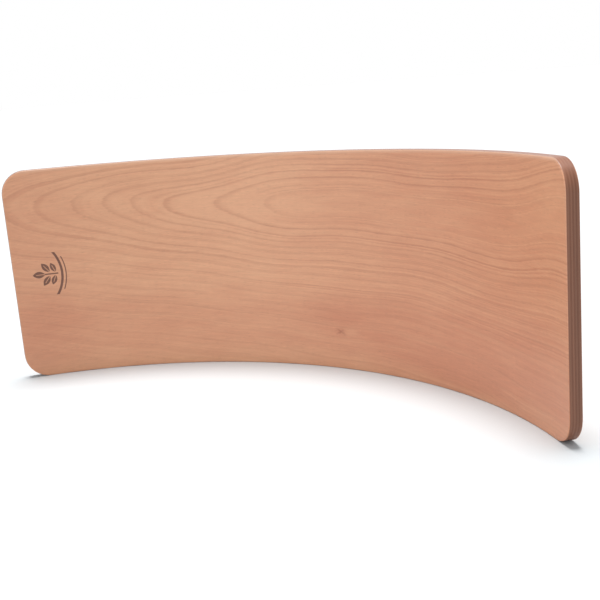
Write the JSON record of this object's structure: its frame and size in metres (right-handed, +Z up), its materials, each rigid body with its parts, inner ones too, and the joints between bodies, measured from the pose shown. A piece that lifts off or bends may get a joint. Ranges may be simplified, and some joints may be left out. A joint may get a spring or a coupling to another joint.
{
  "type": "balance board",
  "caption": "Curved balance board of cross-laminated beech: one constant-radius rocker with rounded corners, standing on a long edge.",
  "frame": {"origin": "middle of the bottom of the bounding box of the board as it stands on a long edge", "axes": "+X along the chord of the curve, +Y through its depth with the hollow face towards -Y, +Z up across the board's width"},
  "size_m": [0.8196, 0.2007, 0.3],
  "materials": {
    "face_beech": "clear satin lacquer over sanded rotary-cut beech veneer",
    "long_beech": "sanded and lacquered veneer edge, grain along the board",
    "cross_beech": "sanded and lacquered veneer edge, grain across the board",
    "glue_line": "cured wood glue, seen only as hairlines at the edges"
  },
  "bodies": {
    "root": {"inner_face_veneer": "face_beech", "glue_film_1": "glue_line", "inner_crossband": "cross_beech", "glue_film_2": "glue_line", "inner_long_veneer": "long_beech", "glue_film_3": "glue_line", "inner_core_crossband": "cross_beech", "glue_film_4": "glue_line", "centre_veneer": "long_beech", "glue_film_5": "glue_line", "outer_core_crossband": "cross_beech", "glue_film_6": "glue_line", "outer_long_veneer": "long_beech", "glue_film_7": "glue_line", "outer_crossband": "cross_beech", "glue_film_8": "glue_line", "outer_face_veneer": "face_beech"}
  },
  "joints": []
}
